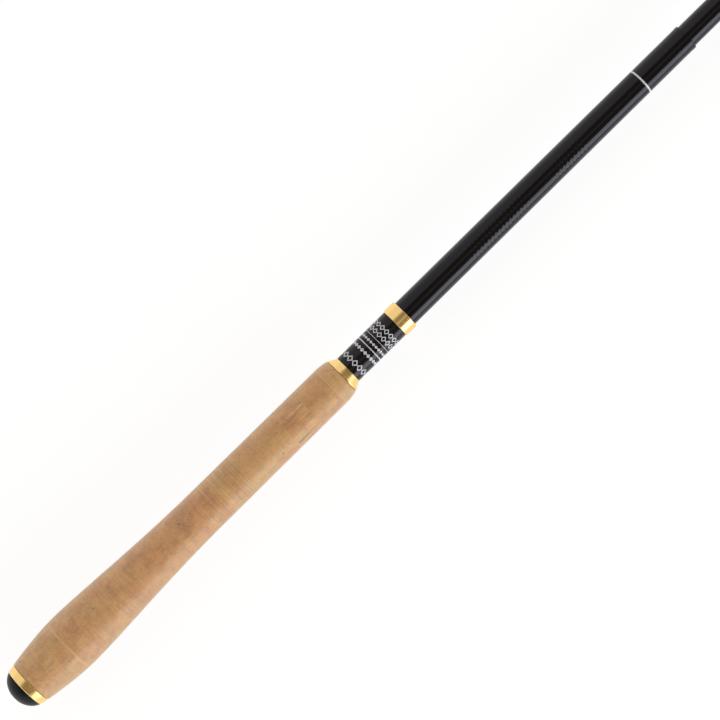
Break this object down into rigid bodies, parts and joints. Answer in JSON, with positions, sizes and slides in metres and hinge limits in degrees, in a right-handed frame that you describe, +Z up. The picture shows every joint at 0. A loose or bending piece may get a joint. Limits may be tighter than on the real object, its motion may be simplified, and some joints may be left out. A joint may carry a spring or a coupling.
{
  "type": "tenkara rod",
  "caption": "Telescopic fly rod with no reel: cork grip, metal trim rings, glossy black sections that slide into the handle, and a screw butt cap.",
  "frame": {"origin": "on the surface that the rod lies on, under the middle of its length at rest", "axes": "+X along the rod from the butt to the tip, +Z up, the rod's axis 12.7 mm above the surface"},
  "size_m": [0.7384, 0.0254, 0.0254],
  "materials": {
    "cap_black": "moulded black plastic, satin",
    "seal_rubber": "smooth black rubber",
    "cushion_foam": "soft closed-cell foam",
    "gold_metal": "turned and anodised pale gold, bright",
    "insert_metal": "turned, plain",
    "cork": "sanded natural cork with pits",
    "sleeve_lacquer": "black gloss lacquer with silver paint",
    "blank_lacquer": "clear gloss lacquer over black carbon fibre",
    "tip_metal": "drawn tube, satin"
  },
  "bodies": {
    "root": {"butt_ring": "gold_metal", "thread_insert": "insert_metal", "cork_ring_01": "cork", "cork_ring_02": "cork", "cork_ring_03": "cork", "cork_ring_04": "cork", "cork_ring_05": "cork", "cork_ring_06": "cork", "cork_ring_07": "cork", "cork_ring_08": "cork", "cork_ring_09": "cork", "cork_ring_10": "cork", "cork_ring_11": "cork", "cork_ring_12": "cork", "cork_ring_13": "cork", "cork_ring_14": "cork", "cork_ring_15": "cork", "front_check": "gold_metal", "label_sleeve": "sleeve_lacquer", "trim_ring": "gold_metal", "handle_blank": "blank_lacquer"},
    "seal": {"cap_seal": "seal_rubber"},
    "cap": {"butt_cap": "cap_black", "cap_cushion": "cushion_foam"},
    "second": {"section_02": "blank_lacquer"},
    "third": {"section_03": "blank_lacquer"},
    "fourth": {"section_04": "blank_lacquer"},
    "fifth": {"section_05": "blank_lacquer"},
    "sixth": {"section_06": "blank_lacquer"},
    "seventh": {"section_07": "blank_lacquer"},
    "eighth": {"section_08": "blank_lacquer"},
    "ninth": {"section_09": "blank_lacquer"},
    "tip": {"section_10": "blank_lacquer", "tip_socket": "tip_metal"}
  },
  "joints": [
    {"name": "cap_travel", "type": "slide", "parent": "root", "child": "seal", "axis": [1, 0, 0], "range_m": [-0.00676, 0]},
    {"name": "cap_turn", "type": "hinge", "parent": "seal", "child": "cap", "pos_m": [-0.36, 0, 0.0127], "axis": [1, 0, 0], "range_deg": [-1620, 0]},
    {"name": "draw_second", "type": "slide", "parent": "root", "child": "second", "axis": [1, 0, 0], "range_m": [-0.3457, 0]},
    {"name": "draw_third", "type": "slide", "parent": "second", "child": "third", "axis": [1, 0, 0], "range_m": [0, 0.3397]},
    {"name": "draw_fourth", "type": "slide", "parent": "third", "child": "fourth", "axis": [1, 0, 0], "range_m": [0, 0.3418]},
    {"name": "draw_fifth", "type": "slide", "parent": "fourth", "child": "fifth", "axis": [1, 0, 0], "range_m": [0, 0.3439]},
    {"name": "draw_sixth", "type": "slide", "parent": "fifth", "child": "sixth", "axis": [1, 0, 0], "range_m": [0, 0.346]},
    {"name": "draw_seventh", "type": "slide", "parent": "sixth", "child": "seventh", "axis": [1, 0, 0], "range_m": [0, 0.3481]},
    {"name": "draw_eighth", "type": "slide", "parent": "seventh", "child": "eighth", "axis": [1, 0, 0], "range_m": [0, 0.3502]},
    {"name": "draw_ninth", "type": "slide", "parent": "eighth", "child": "ninth", "axis": [1, 0, 0], "range_m": [0, 0.3523]},
    {"name": "draw_tip", "type": "slide", "parent": "ninth", "child": "tip", "axis": [1, 0, 0], "range_m": [0, 0.3544]}
  ],
  "couplings": [
    {"joint": "cap_travel", "follows": "cap_turn", "m_per_rad": 0.00023873}
  ]
}
